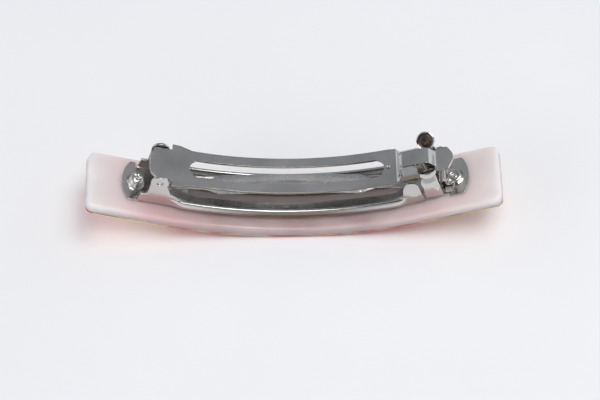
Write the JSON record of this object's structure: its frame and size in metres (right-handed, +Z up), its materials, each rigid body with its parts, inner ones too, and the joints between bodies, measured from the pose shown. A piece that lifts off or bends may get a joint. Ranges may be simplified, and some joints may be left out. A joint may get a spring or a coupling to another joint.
{
  "type": "hair barrette",
  "caption": "Automatic hair barrette: a curved acetate bar with a riveted sheet-metal spring clasp whose slotted arm snaps shut between squeeze prongs.",
  "frame": {"origin": "middle of the bounding box's underside, where the lowest flat of the decorated face lies on a table", "axes": "+X along the bar from the hinge to the catch, +Y across the bar, +Z up through the clasp"},
  "size_m": [0.096, 0.0156, 0.0209],
  "materials": {
    "acetate": "polished translucent pale pink cellulose acetate",
    "patterned_acetate": "polished acetate with red, coral and olive swirls",
    "nickel_sheet": "nickel-plated stamped steel sheet, lightly brushed",
    "bright_nickel": "bright nickel plate",
    "spring_steel": "polished nickel-plated spring steel"
  },
  "bodies": {
    "root": {"acetate_backing": "acetate", "decorated_face": "patterned_acetate", "base_plate": "nickel_sheet", "rivet_hinge_end": "bright_nickel", "rivet_catch_end": "bright_nickel", "hinge_pin": "bright_nickel", "catch_spring": "spring_steel"},
    "arm": {"clasp_arm": "nickel_sheet"},
    "bow": {"tension_bar": "spring_steel"},
    "prong_near": {"catch_prong_near": "spring_steel"},
    "prong_far": {"catch_prong_far": "spring_steel"}
  },
  "joints": [
    {"name": "arm_hinge", "type": "hinge", "parent": "root", "child": "arm", "pos_m": [-0.03046, 0.0008, 0.01719], "axis": [0, -1, 0], "range_deg": [0, 100]},
    {"name": "bow_lift", "type": "hinge", "parent": "root", "child": "bow", "pos_m": [-0.02899, 0.0008, 0.00926], "axis": [0, -1, 0], "range_deg": [0, 3.5], "stiffness_Nm_per_rad": 0.02},
    {"name": "catch_squeeze_near", "type": "hinge", "parent": "root", "child": "prong_near", "pos_m": [0.03234, -0.0038, 0.01028], "axis": [-0.9441, 0, -0.3295], "range_deg": [0, 4.5], "stiffness_Nm_per_rad": 0.1},
    {"name": "catch_squeeze_far", "type": "hinge", "parent": "root", "child": "prong_far", "pos_m": [0.03234, 0.0054, 0.01028], "axis": [0.9441, 0, 0.3295], "range_deg": [0, 4.5], "stiffness_Nm_per_rad": 0.1}
  ]
}
